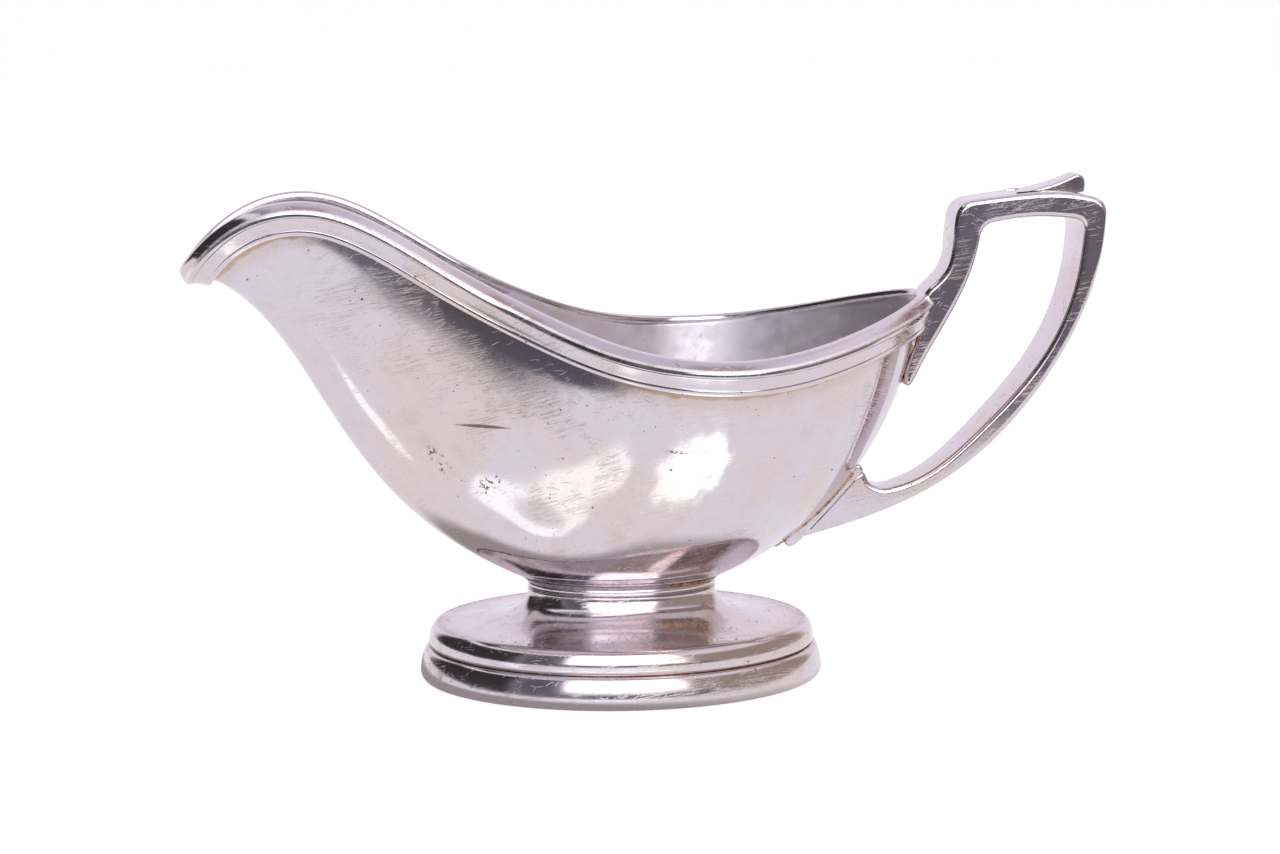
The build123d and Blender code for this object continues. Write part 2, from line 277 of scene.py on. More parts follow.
def border_profile():
    """Section of the border as (out from the wall, down from the crown): lip, band, lower bead."""
    lip = [(-1.0, 2.0), (-1.22, 1.4), (-1.22, 0.9), (-1.08, 0.42), (-0.7, 0.1), (0.0, 0.0), (0.8, 0.14),
           (1.5, 0.64), (2.1, 1.22), (2.44, 1.56), (2.62, 1.78), (2.7, 1.98), (2.76, 2.25), (2.8, 2.6)]
    groove = [(2.78, 2.78), (2.64, 2.88), (2.52, 2.98)]
    band = [(2.48, 3.1), (2.35, 4.0), (2.24, 4.9), (2.17, 5.5), (2.15, 5.6)]
    bead = [(2.17, 5.64), (2.2, 5.72), (2.22, 5.86), (2.22, 6.1), (2.18, 6.42), (2.1, 6.7), (1.65, 6.9),
            (0.9, 6.98), (0.0, 7.0), (-0.5, 7.0)]
    upper = through(lip, 0.12)[:-1] + through(lip[-1:] + groove, 0.08)[1:-1]
    lower = through(band, 0.16)[:-1] + through(band[-1:] + bead, 0.12)
    return upper + lower


def rim_border(name, start_u):
    """One length of the border; start_u is 0 for the near side and RIM_END for the far side."""
    profile = border_profile()
    rows = RIM_END * STEPS_PER_RIM_SPAN * 2 + 1
    points = []
    for i in range(rows):
        crown, down, out = rim_frame(start_u + RIM_END * i / (rows - 1))
        points += [crown + out * n + down * d for n, d in profile]
    columns = len(profile)
    faces = grid_faces(rows, columns, close_columns=True)
    faces.append(tuple(range(columns)))
    faces.append(tuple(range((rows - 1) * columns, rows * columns)))
    return mesh_object(name, points, faces, {"below_crown": [d for _, d in profile] * rows})


def neck_collar():
    """The rounded ring between the bowl and the foot."""
    half = NECK_LENGTH / 2
    middle = (COLLAR_BOTTOM + NECK_TOP) / 2
    outside = through([(half + 0.15, COLLAR_BOTTOM), (half + 0.42, middle - 0.45),
                       (half + 0.42, middle + 0.35), (half + 0.05, NECK_TOP)], 0.15)
    inside = [(half - COLLAR_WALL, NECK_TOP - 0.1), (half - COLLAR_WALL, COLLAR_BOTTOM)]
    return oval_piece("neck_collar_ring", outside + inside)


def pedestal():
    """The stamped foot: concave stem, shallow dome, ridge and ovolo, hollow underneath."""
    outside = []
    for fraction in np.linspace(0, 1, 41) ** 2:
        length = STEM_HALF_LENGTH + (DOME_HALF_LENGTH - STEM_HALF_LENGTH) * fraction
        outside.append((length, DOME_EDGE + (COLLAR_BOTTOM - DOME_EDGE) * (1 - math.sqrt(fraction)) ** 2))
    ovolo = [(DOME_HALF_LENGTH, DOME_EDGE), (39.65, 12.02), (39.85, 12.1), (40.2, 11.98), (40.7, 11.6),
             (41.25, 10.9), (41.6, 10.1), (41.82, 9.2), (41.92, 8.3), (41.9, 7.6), (41.6, 7.2),
             (41.3, BAND_TOP)]
    outside += through(ovolo, 0.2)[1:]
    upper = [point for point in outside if point[1] > DOME_EDGE - 2]
    inside = [(length - FOOT_WALL, height - FOOT_WALL) for length, height in upper]
    inside.append((41.2 - FOOT_WALL, BAND_TOP))
    return oval_piece("foot_pedestal", outside + inside[::-1])


def base_band():
    """The band round the foot's bottom, with the flat rim that the boat stands on."""
    outside = through([(41.3, BAND_TOP), (41.65, 6.95), (42.1, 6.82), (42.6, 6.4), (43.0, 5.6), (43.3, 4.6),
                       (43.55, 3.5), (43.72, 2.5), (43.78, 1.7), (43.68, 1.0), (43.35, 0.4), (43.0, 0.1),
                       (42.7, 0.0)], 0.2)
    inside = [(40.9, 0.0), (40.6, 0.3), (39.8, BAND_TOP)]
    return oval_piece("foot_base_band_ring", outside + inside)


def strap_width(x):
    """The handle's size across Y, which grows away from the bowl."""
    share = (x - HANDLE_TAPER_START) / (HANDLE_BACK - HANDLE_TAPER_START)
    return HANDLE_WIDTH_AT_BOWL + (HANDLE_WIDTH_AT_BACK - HANDLE_WIDTH_AT_BOWL) * share


def clean_outline(outline, least=0.12):
    """The closed outline without repeated points, running anticlockwise."""
    kept = [outline[0]]
    for point in outline[1:]:
        if math.dist(point, kept[-1]) > least:
            kept.append(point)
    if math.dist(kept[0], kept[-1]) <= least:
        kept.pop()
    area = sum(a[0] * b[1] - b[0] * a[1] for a, b in zip(kept, kept[1:] + kept[:1]))
    return kept if area > 0 else kept[::-1]


def inward_normals(outline):
    """Direction inwards at each point of an anticlockwise outline, stretched at corners."""
    count = len(outline)
    normals = []
    for i, point in enumerate(outline):
        before = unit(np.array(point) - np.array(outline[i - 1]))
        after = unit(np.array(outline[(i + 1) % count]) - np.array(point))
        left_before = np.array([-before[1], before[0]])
        left_after = np.array([-after[1], after[0]])
        middle = unit(left_before + left_after)
        normals.append(middle / max(0.7, middle.dot(left_after)))
    return normals


def filled(ring, first):
    """Triangles inside a closed, flat ring of points; first is the number of the ring's first point."""
    flat = [Vector((point[0], point[2])) for point in ring]
    _, _, triangles, sources, _, _ = delaunay_2d_cdt(flat, [], [list(range(len(flat)))], 1, 0.0001)
    return [tuple(first + sources[corner][0] for corner in triangle) for triangle in triangles
            if all(sources[corner] for corner in triangle)]


def rounded_plate(name, outline, width_at, radius=EDGE_RADIUS):
    """A flat casting: the (x, z) outline made thick across Y, with rounded edges and flat cheeks."""
    outline = clean_outline(outline)
    normals = inward_normals(outline)
    turns = np.radians(np.linspace(0, 90, EDGE_STEPS + 1))
    inset_and_rise = [(radius * (1 - math.cos(a)), radius * (1 - math.sin(a))) for a in turns]
    inset_and_rise.append((radius + CHEEK_BORDER, 0.0))
    left = [(-1, inset, rise) for inset, rise in reversed(inset_and_rise)]
    order = left + [(1, inset, rise) for inset, rise in inset_and_rise]
    points = []
    for side, inset, rise in order:
        for point, normal in zip(outline, normals):
            x = point[0] + normal[0] * inset
            z = point[1] + normal[1] * inset
            points.append((x, side * (width_at(x) / 2 - rise), z))
    columns = len(outline)
    faces = grid_faces(len(order), columns, close_columns=True)
    for first in (0, (len(order) - 1) * columns):
        faces += filled(points[first:first + columns], first)
    return mesh_object(name, points, faces)


def handle():
    """Tab, upright, arm, bow and lower web in one casting."""
    inner_front = (77.1, 97.6)
    inner_back = (98.8, 98.6)
    web_inner = (55.6, 39.9)
    web_tip = (37.4, 29.0)
    back_corner = (103.6, 102.9)
    front_corner = (71.8, 102.4)
    lip_top = (65.6, 83.8)
    tab_tip = [(61.0, 66.5), (60.6, 64.0), (61.0, 62.9), (62.0, 62.6)]
    upright_inside = through([(62.9, 63.9), (64.6, 67.4), (69.9, 77.1), (75.3, 89.2), inner_front])
    arm_underside = through([inner_front, (88.0, 99.2), inner_back])
    bow_inside = through([inner_back, (97.8, 87.8), (91.9, 71.3), (77.3, 53.4), (62.0, 41.7), web_inner])
    nub = [(53.4, 41.9), (52.5, 44.3), (50.4, 43.6), (38.2, 30.6)]
    bow_outside = through([web_tip, (54.0, 34.3), (71.5, 43.3), (86.1, 57.1), (98.7, 78.0), (103.2, 95.0),
                           back_corner])
    arm_top = through([back_corner, (95.0, 104.4), (85.0, 104.1), front_corner])
    upright_outside = through([front_corner, (70.9, 96.0), (69.6, 88.2), lip_top])
    behind_bowl = [(64.4, 82.0), (64.0, 77.0), (63.0, 72.0)]
    outline = (tab_tip + upright_inside[:-1] + arm_underside[:-1] + bow_inside[:-1] + [web_inner] + nub
               + bow_outside[:-1] + arm_top[:-1] + upright_outside + behind_bowl)
    for corner, reach in ((front_corner, 3.2), (back_corner, 3.4), (inner_front, 1.8), (inner_back, 1.8),
                          (web_inner, 1.8)):
        outline = round_corner(outline, corner, reach)
    return rounded_plate("handle_casting", soften(outline), strap_width)


def round_corner(outline, corner, reach):
    """Swaps the outline's points within reach of a corner for one bend."""
    count = len(outline)
    far = [math.dist(point, corner) > reach for point in outline]
    start = next(i for i in range(count) if far[i] and not far[(i + 1) % count])
    turned = [outline[(start + i) % count] for i in range(count)]
    kept = [turned[0]] + [point for point in turned[1:] if math.dist(point, corner) > reach]
    a = np.array(kept[0])
    b = np.array(kept[1])
    bend = [tuple(a * (1 - t) ** 2 + np.array(corner) * 2 * t * (1 - t) + b * t ** 2)
            for t in np.linspace(0, 1, 9)[1:-1]]
    return kept[:1] + bend + kept[1:]


def soften(outline, turn_limit=18.0, reach=1.3):
    """Rounds every corner of a closed outline that turns more sharply than turn_limit degrees."""
    outline = clean_outline(outline)
    count = len(outline)
    softened = []
    for i, point in enumerate(outline):
        here = np.array(point)
        before = np.array(outline[i - 1]) - here
        after = np.array(outline[(i + 1) % count]) - here
        turn = 180 - math.degrees(math.acos(np.clip(unit(before).dot(unit(after)), -1, 1)))
        if turn < turn_limit:
            softened.append(point)
            continue
        start = here + unit(before) * min(reach, 0.48 * np.linalg.norm(before))
        end = here + unit(after) * min(reach, 0.48 * np.linalg.norm(after))
        for t in np.linspace(0, 1, 5):
            softened.append(tuple(start * (1 - t) ** 2 + here * 2 * t * (1 - t) + end * t ** 2))
    return softened


def thumb_piece():
    """The scroll on the handle's arm, narrower towards its curled end."""
    top = through([(THUMB_START, 103.6), (88.5, 104.9), (93.3, 106.2), (97.4, 107.9)], 0.5)
    curl = [(98.3, 108.1), (99.3, 107.7), (99.9, 106.4), (99.8, 104.2)]
    outline = top + curl + [(97.0, 103.9), (90.0, 104.0)]
    return rounded_plate("thumb_scroll", soften(outline, reach=THUMB_EDGE), thumb_width, THUMB_EDGE)


def thumb_width(x):
    return THUMB_WIDTH - (x - THUMB_START) * THUMB_TAPER


def lower_flange():
    """The thin plate between the handle's lower web and the bowl."""
    outline = [(50.6, 45.7), (51.6, 45.6), (52.3, 44.4), (44.6, 35.9), (38.9, 29.7), (37.2, 28.1),
               (35.6, 28.0), (34.9, 29.2), (42.0, 36.4)]
    return rounded_plate("lower_mount_pad", rounded(outline, 0.6), lambda x: FLANGE_WIDTH, FLANGE_EDGE)


# --- node trees -----------------------------------------------------------------------------------
class Tree:
    """Adds nodes to a node tree and joins them; a socket or a plain value may feed any input."""

    def __init__(self, tree):
        self.tree = tree
        tree.nodes.clear()

    def node(self, kind, inputs=None, **settings):
        node = self.tree.nodes.new(kind)
        for key, value in settings.items():
            setattr(node, key, value)
        for socket, value in (inputs or {}).items():
            if isinstance(value, bpy.types.NodeSocket):
                self.tree.links.new(value, node.inputs[socket])
            else:
                node.inputs[socket].default_value = value
        return node

    def math(self, operation, a, b=0.0):
        return self.node("ShaderNodeMath", {0: a, 1: b}, operation=operation).outputs[0]

    def total(self, *values):
        result = values[0]
        for value in values[1:]:
            result = self.math("ADD", result, value)
        return result

    def product(self, a, b):
        return self.math("MULTIPLY", a, b)

    def most(self, *values):
        result = values[0]
        for value in values[1:]:
            result = self.math("MAXIMUM", result, value)
        return result

    def band(self, value, low, high, out_low=0.0, out_high=1.0):
        """value between low and high, eased to run from out_low to out_high."""
        inputs = {"Value": value, "From Min": low, "From Max": high, "To Min": out_low, "To Max": out_high}
        return self.node("ShaderNodeMapRange", inputs, interpolation_type="SMOOTHSTEP").outputs["Result"]

    def window(self, value, low, high, soft):
        """1 between low and high, falling off over soft on both sides."""
        rise = self.band(value, low - soft, low + soft)
        fall = self.band(value, high - soft, high + soft, 1.0, 0.0)
        return self.product(rise, fall)

    def colour(self, factor, a, b):
        mix = self.node("ShaderNodeMix", data_type="RGBA")
        for socket, value in ((0, factor), (6, a), (7, b)):
            if isinstance(value, bpy.types.NodeSocket):
                self.tree.links.new(value, mix.inputs[socket])
            else:
                mix.inputs[socket].default_value = value if socket == 0 else (*value, 1.0)
        return mix.outputs[2]

    def noise(self, vector, scale, detail=3.0, roughness=0.55):
        inputs = {"Vector": vector, "Scale": scale, "Detail": detail, "Roughness": roughness}
        return self.node("ShaderNodeTexNoise", inputs).outputs["Fac"]

    def coordinate(self, vector, axis):
        return self.node("ShaderNodeSeparateXYZ", {0: vector}).outputs[axis]

    def oval_distance(self, vector, centre, half_size, turn):
        """Distance from an oval's centre, 1 on its edge; a half size of 0 leaves that axis out."""
        scale = tuple(1 / size if size else 0.0 for size in half_size)
        moved = self.node("ShaderNodeVectorMath", {0: vector, 1: centre}, operation="SUBTRACT").outputs[0]
        turned = self.node("ShaderNodeMapping", {"Vector": moved, "Rotation": turn}).outputs[0]
        sized = self.node("ShaderNodeMapping", {"Vector": turned, "Scale": scale}).outputs[0]
        return self.node("ShaderNodeVectorMath", {0: sized}, operation="LENGTH").outputs["Value"]

    def bump(self, height, depth, under=None):
        """A normal with the height laid over it, depth in millimetres; under is the normal below it."""
        inputs = {"Height": height, "Distance": depth * MM}
        if under:
            inputs["Normal"] = under
        return self.node("ShaderNodeBump", inputs).outputs[0]

    def stretched(self, vector, turn, stretch):
        """The coordinates turned by turn (radians about X, Y, Z), then squeezed along their axes."""
        turned = self.node("ShaderNodeMapping", {"Vector": vector, "Rotation": turn})
        return self.node("ShaderNodeMapping", {"Vector": turned.outputs[0], "Scale": stretch}).outputs[0]

    def attribute(self, name):
        return self.node("ShaderNodeAttribute", attribute_name=name).outputs["Fac"]


# --- materials ------------------------------------------------------------------------------------
LAVENDER = (0.70, 0.645, 0.70)
WARM = (0.70, 0.615, 0.595)
GREY = (0.40, 0.365, 0.38)
INSIDE_GREY = (0.86, 0.835, 0.885)
TAN = (0.52, 0.36, 0.23)
BROWN = (0.17, 0.11, 0.08)
PIT = (0.10, 0.085, 0.08)
# pale colour of the painted highlight along the border's lip
PAINTED_HIGHLIGHT = (0.97, 0.94, 0.95)
SOLDER_DARK = (0.16, 0.10, 0.07)
SOLDER_ORANGE = (0.66, 0.40, 0.24)
SOLDER_PALE = (0.68, 0.62, 0.62)

# Short scratches as (turn about Y in radians, length, thickness, rarity).
SCRATCHES = [(0.55, 8.0, 0.55, 0.38), (0.9, 5.0, 0.45, 0.45), (-0.35, 6.0, 0.5, 0.47),
             (0.15, 11.0, 0.5, 0.42)]
# Pits as (spacing, radius as a share of it, rarity).
PITS = [(1.7, 0.13, 0.56), (4.2, 0.09, 0.5)]
# Scuffs on the near side as ((x, z), half sizes, turn): a pitted blotch, specks beside it, a short scratch
# towards the handle. The cut is the one deep scratch above them.
NEAR_SCUFFS = [((-29.0, 44.5), (3.4, 2.0), 0.5), ((-39.5, 49.5), (1.5, 4.6), 0.6),
               ((9.0, 54.5), (3.6, 0.5), 0.05)]
NEAR_CUT = ((-30.5, 57.0), (5.8, 0.42), -0.04)

# Depths of the bumps, from wide to narrow; the widest is each piece's own.
DENT_DEPTH = 0.007
BRUSHING_DEPTH = 0.004
MARK_DEPTH = 0.010

# Stripes on the border, as distances down from its crown.
# The first is where the painted highlight runs along the lip's edge.
PAINTED_HIGHLIGHT_SPAN = (1.35, 1.85)
GROOVE = (2.82, 3.02)
LOWER_GROOVE = (5.56, 5.64)
BORDER_BOTTOM = (6.55, 6.9)
# Stripes on the foot, as heights.
FOOT_JOINT = (6.8, 7.25)
FOOT_SEAM = (7.0, 7.2)
RIDGE_GROOVE = (11.98, 12.1)
# The bowl's inside is browner from the first of these places to the second along X.
INSIDE_TARNISH = (46, 70)


def new_material(name):
    """An empty material, its tree of nodes and the object's own coordinates in millimetres."""
    material = bpy.data.materials.new(name)
    material.use_nodes = True
    tree = Tree(material.node_tree)
    metres = tree.node("ShaderNodeTexCoord").outputs["Object"]
    mm = tree.node("ShaderNodeVectorMath", {0: metres, "Scale": 1 / MM}, operation="SCALE").outputs[0]
    return material, tree, mm


def metal(tree, colour, rough, normal, metallic=1.0):
    shader = tree.node("ShaderNodeBsdfPrincipled", {"Base Color": colour, "Metallic": metallic,
                                                    "Roughness": rough, "Normal": normal})
    tree.node("ShaderNodeOutputMaterial", {"Surface": shader.outputs[0]})


def brushed(tree, mm):
    """Fine broken polishing lines, 1 in a line and 0 elsewhere."""
    lines = tree.noise(tree.stretched(mm, (0.35, 0.15, 0.0), (0.07, 0.07, 2.4)), 1.0, 4.0, 0.6)
    off_centre = tree.math("ABSOLUTE", tree.math("SUBTRACT", lines, 0.5))
    line = tree.band(off_centre, 0.0, 0.020, 1.0, 0.0)
    patches = tree.band(tree.noise(mm, 0.09, 2.0), 0.48, 0.58)
    return tree.product(line, patches)


def strokes(tree, mm, turn, length, thickness, rarity):
    """Short straight scratches in one direction, 1 on a scratch and 0 elsewhere."""
    squeezed = tree.stretched(mm, (0.0, turn, 0.0), (1 / length, 1 / length, 1 / thickness))
    cells = tree.node("ShaderNodeTexVoronoi", {"Vector": squeezed, "Scale": 1.0}, feature="F1")
    stroke = tree.band(cells.outputs["Distance"], 0.07, 0.17, 1.0, 0.0)
    where = tree.band(tree.noise(mm, 0.12, 3.0), rarity, rarity + 0.08)
    return tree.product(stroke, where)


def pits(tree, mm, spacing, radius, rarity):
    """Round specks, 1 in a speck and 0 elsewhere."""
    cells = tree.node("ShaderNodeTexVoronoi", {"Vector": mm, "Scale": 1.0 / spacing}, feature="F1")
    spot = tree.band(cells.outputs["Distance"], radius * 0.5, radius, 1.0, 0.0)
    where = tree.band(tree.noise(mm, 0.16, 3.0), rarity, rarity + 0.06)
    return tree.product(spot, where)


def silver(name, stains, wear, roughness=0.10, wave=0.02):
    """Old silver plate: tonal clouds, grain, fine scratches in several directions, pits and stains.
    stains(tree, mm, colour, rough) returns the colour and roughness with the piece's own marks added."""
    material, tree, mm = new_material(name)

    clouds = tree.noise(mm, 0.045, 5.0, 0.6)
    mottling = tree.noise(mm, 0.35, 5.0, 0.65)
    grain = tree.noise(mm, 2.6, 3.0, 0.6)
    streaks = tree.noise(tree.stretched(mm, (0.3, 0.12, 0.0), (0.16, 0.16, 2.4)), 1.0, 4.0, 0.65)
    colour = tree.colour(tree.band(clouds, 0.36, 0.66), LAVENDER, WARM)
    colour = tree.colour(tree.band(mottling, 0.42, 0.75, 0.0, 0.16 * wear), colour, GREY)
    colour = tree.colour(tree.band(grain, 0.5, 0.72, 0.0, 0.12 * wear), colour, GREY)
    colour = tree.colour(tree.band(streaks, 0.52, 0.7, 0.0, 0.12 * wear), colour, GREY)

    lines = tree.most(brushed(tree, mm), *[strokes(tree, mm, *scratch) for scratch in SCRATCHES])
    spots = tree.most(*[pits(tree, mm, *pit) for pit in PITS])
    colour = tree.colour(tree.product(spots, 0.8), colour, PIT)

    rough = tree.total(roughness, tree.band(mottling, 0.35, 0.7, 0.0, 0.05 * wear),
                       tree.band(grain, 0.5, 0.66, 0.0, 0.07 * wear),
                       tree.product(lines, 0.36 * wear + 0.1), tree.product(spots, 0.3))
    colour, rough = stains(tree, mm, colour, rough)

    normal = tree.bump(tree.noise(mm, 0.07, 2.0, 0.4), wave)
    normal = tree.bump(tree.noise(mm, 0.33, 3.0, 0.5), DENT_DEPTH * wear, normal)
    normal = tree.bump(streaks, BRUSHING_DEPTH * wear, normal)
    cuts = tree.total(tree.product(lines, 0.5), spots)
    normal = tree.bump(tree.math("SUBTRACT", 1.0, cuts), MARK_DEPTH * wear, normal)
    metal(tree, colour, rough, normal)
    return material


def stained(tree, colour, rough, share, stain, extra_roughness):
    """The colour and roughness with a stain laid over a share of them."""
    return tree.colour(share, colour, stain), tree.total(rough, tree.product(share, extra_roughness))


def near_mark(tree, mm, centre, half_size, turn, ragged=0.5):
    """An oval mark on the near side: centre and half_size are (x, z), turned by turn radians."""
    middle = (centre[0], 0.0, centre[1])
    size = (half_size[0], 0.0, half_size[1])
    reach = tree.oval_distance(mm, middle, size, (0.0, turn, 0.0))
    wander = tree.product(tree.math("SUBTRACT", tree.noise(mm, 0.9, 4.0, 0.65), 0.5), 2 * ragged)
    mark = tree.band(tree.total(reach, wander), 0.6, 1.1, 1.0, 0.0)
    near = tree.band(tree.coordinate(mm, "Y"), -1.0, 0.0, 1.0, 0.0)
    return tree.product(mark, near)


def bowl_stains(tree, mm, colour, rough):
    """Tan tarnish in the corner under the border, dark scuffs on the near side, a duller inside."""
    below = tree.attribute("below_rim")
    inside = tree.attribute("inside")
    ragged = tree.total(below, tree.product(tree.noise(mm, 0.3, 4.0), 2.2))
    under_border = tree.band(below, 3.0, 5.5)
    tarnish = tree.product(tree.band(ragged, 7.8, 8.8, 0.85, 0.0), under_border)
    haze = tree.product(tree.band(ragged, 8.6, 12.0, 0.22, 0.0), under_border)
    blotches = tree.band(tree.noise(mm, 0.12, 4.0), 0.58, 0.75, 0.0, 0.22)
    tan = tree.product(tree.most(tarnish, haze, blotches), tree.math("SUBTRACT", 1.0, inside))
    colour, rough = stained(tree, colour, rough, tan, TAN, 0.15)

    specks = tree.band(tree.noise(mm, 1.1, 5.0, 0.75), 0.53, 0.58)
    scuff = tree.most(*[near_mark(tree, mm, *mark) for mark in NEAR_SCUFFS])
    colour, rough = stained(tree, colour, rough, tree.product(scuff, specks), BROWN, 0.25)
    cut = near_mark(tree, mm, *NEAR_CUT, ragged=0.25)
    colour, rough = stained(tree, colour, rough, tree.product(cut, 0.85), BROWN, 0.2)

    mottled = tree.band(tree.noise(mm, 0.10, 6.0, 0.55), 0.36, 0.70, 0.55, 1.0)
    colour = tree.colour(tree.product(inside, mottled), colour, INSIDE_GREY)
    browner = tree.band(tree.coordinate(mm, "X"), *INSIDE_TARNISH, 0.0, 0.5)
    colour = tree.colour(tree.product(inside, browner), colour, BROWN)
    dull = tree.band(tree.noise(mm, 0.3, 4.0, 0.6), 0.3, 0.7, 0.32, 0.48)
    return colour, tree.total(rough, tree.product(inside, dull))


def border_stains(tree, mm, colour, rough):
    """Tan along the bottom, dirt in the two grooves, and a painted highlight: a pale bright stripe on the
    lip's edge.
    """
    below = tree.attribute("below_crown")
    patchy = tree.band(tree.noise(mm, 0.35, 4.0), 0.35, 0.6, 0.35, 1.0)
    bottom = tree.product(tree.band(below, *BORDER_BOTTOM, 0.0, 0.85), patchy)
    colour, rough = stained(tree, colour, rough, bottom, TAN, 0.15)
    grooves = tree.most(tree.window(below, *GROOVE, 0.10), tree.window(below, *LOWER_GROOVE, 0.05))
    dirt = tree.product(tree.product(grooves, 0.6), patchy)
    colour, rough = stained(tree, colour, rough, dirt, BROWN, 0.2)
    uneven = tree.band(patchy, 0.35, 0.6, 0.6, 1.0)
    # painted highlight: a pale, rougher stripe along the lip's edge, where its highlight line falls
    painted_highlight = tree.product(tree.window(below, *PAINTED_HIGHLIGHT_SPAN, 0.15), uneven)
    return stained(tree, colour, rough, painted_highlight, PAINTED_HIGHLIGHT, 0.38)


def foot_stains(tree, mm, colour, rough):
    """Tan at the joint between foot and base band, dirt in it and beside the dome's ridge."""
    height = tree.coordinate(mm, "Z")
    patchy = tree.band(tree.noise(mm, 0.3, 4.0), 0.3, 0.6, 0.3, 1.0)
    joint = tree.product(tree.window(height, *FOOT_JOINT, 0.15), patchy)
    colour, rough = stained(tree, colour, rough, tree.product(joint, 0.4), TAN, 0.15)
    groove = tree.product(tree.window(height, *RIDGE_GROOVE, 0.08), 0.45)
    seam = tree.product(tree.window(height, *FOOT_SEAM, 0.08), 0.4)
    return stained(tree, colour, rough, tree.product(tree.most(groove, seam), patchy), BROWN, 0.2)


def handle_stains(tree, mm, colour, rough):
    blotches = tree.band(tree.noise(mm, 0.22, 5.0), 0.54, 0.72, 0.0, 0.3)
    return stained(tree, colour, rough, blotches, TAN, 0.1)


def solder(name, silvered_up_to):
    """Bare solder: dull brown and orange, uneven; silvered over where X is below silvered_up_to."""
    material, tree, mm = new_material(name)
    clouds = tree.noise(mm, 0.55, 5.0, 0.7)
    colour = tree.colour(tree.band(clouds, 0.35, 0.6), SOLDER_DARK, SOLDER_ORANGE)
    colour = tree.colour(tree.band(tree.noise(mm, 0.9, 3.0), 0.55, 0.68), colour, SOLDER_PALE)
    silvered = tree.band(tree.coordinate(mm, "X"), silvered_up_to - 3.0, silvered_up_to + 3.0, 0.9, 0.0)
    colour = tree.colour(silvered, colour, LAVENDER)
    metal(tree, colour, tree.band(clouds, 0.3, 0.7, 0.2, 0.45), tree.bump(clouds, 0.10), metallic=0.9)
    return material


# --- studio ---------------------------------------------------------------------------------------
# The room as ranges of direction in degrees, each (from, to, softness). Azimuth is 0 in front of the boat
# and positive to the right; elevation is 0 at the horizon.
LEFT_SIDE = (-140, -50, 8)
LEFT_OF_WINDOWS = (-52, -26, 6)
WINDOWS_ACROSS = (-26, 28, 3)
WINDOWS_UP = (7, 58, 3)
RIGHT_SIDE = (28, 124, 10)
SKYLIGHT_ACROSS = (-150, -20, 8)
SKYLIGHT_UP = (45, 54, 2)
SILL_ACROSS = (-30, 40, 6)
BEAMS_ACROSS = (-42, 42, 10)
BEAMS_UP = (59, 76, 4)
# Elevations between which one tone gives way to the next.
SILL_TOP = (4, 7)
RIGHT_SIDE_TOP = (30, 44)
CEILING_START = (50, 66)

BACKDROP = (0.95, 0.89, 1.0)
LEFT_DARK = (0.045, 0.04, 0.04)
LEFT_SLATE = (0.13, 0.13, 0.16)
RIGHT_TAUPE = (0.40, 0.33, 0.30)
CEILING = (0.74, 0.70, 0.85)
BEAMS = (0.50, 0.42, 0.37)
WINDOW_LIGHT = (1.0, 0.98, 1.0)
SILL_DARK = (0.12, 0.11, 0.14)
WINDOW_STRENGTH = 1.6                       # on top of the room's own 1.0


def studio_room():
    """The room that the metal mirrors: pale backdrop, bright windows in front, dark to the left of them."""
    world = bpy.data.worlds.new("studio_room")
    bpy.context.scene.world = world
    world.use_nodes = True
    tree = Tree(world.node_tree)
    direction = tree.node("ShaderNodeTexCoord").outputs["Generated"]
    axes = tree.node("ShaderNodeSeparateXYZ", {0: direction})
    towards_front = tree.product(axes.outputs["Y"], -1.0)
    degrees = 180 / math.pi
    azimuth = tree.product(tree.math("ARCTAN2", axes.outputs["X"], towards_front), degrees)
    elevation = tree.product(tree.math("ARCSINE", axes.outputs["Z"]), degrees)

    windows = tree.window(azimuth, *WINDOWS_ACROSS)
    below_top = tree.band(elevation, *RIGHT_SIDE_TOP, 1.0, 0.0)
    right_side = tree.product(tree.window(azimuth, *RIGHT_SIDE), below_top)
    skylight = tree.product(tree.window(azimuth, *SKYLIGHT_ACROSS), tree.window(elevation, *SKYLIGHT_UP))
    sill = tree.product(tree.window(azimuth, *SILL_ACROSS), tree.band(elevation, *SILL_TOP, 1.0, 0.0))
    beams = tree.product(tree.window(azimuth, *BEAMS_ACROSS), tree.window(elevation, *BEAMS_UP))
    colour = tree.colour(tree.window(azimuth, *LEFT_SIDE), BACKDROP, LEFT_DARK)
    for share, tone in ((tree.window(azimuth, *LEFT_OF_WINDOWS), LEFT_SLATE), (right_side, RIGHT_TAUPE),
                        (skylight, WINDOW_LIGHT), (windows, WINDOW_LIGHT), (sill, SILL_DARK),
                        (tree.band(elevation, *CEILING_START), CEILING), (beams, BEAMS)):
        colour = tree.colour(share, colour, tone)
    in_windows = tree.product(windows, tree.window(elevation, *WINDOWS_UP))
    strength = tree.total(1.0, tree.product(in_windows, WINDOW_STRENGTH))
    seen = tree.node("ShaderNodeLightPath").outputs["Is Camera Ray"]
    mirrored = tree.node("ShaderNodeBackground", {"Color": colour, "Strength": strength})
    plain = tree.node("ShaderNodeBackground", {"Color": (1, 1, 1, 1), "Strength": 1.0})
    both = tree.node("ShaderNodeMixShader", {0: seen, 1: mirrored.outputs[0], 2: plain.outputs[0]})
    tree.node("ShaderNodeOutputWorld", {"Surface": both.outputs[0]})


def flat_card(name, half_size, material):
    """A level square on the ground, in metres."""
    corners = [(-half_size, -half_size, 0.0), (half_size, -half_size, 0.0), (half_size, half_size, 0.0),
               (-half_size, half_size, 0.0)]
    mesh = bpy.data.meshes.new(name)
    mesh.from_pydata(corners, [], [(0, 1, 2, 3)])
    mesh.materials.append(material)
    card = bpy.data.objects.new(name, mesh)
    bpy.context.scene.collection.objects.link(card)


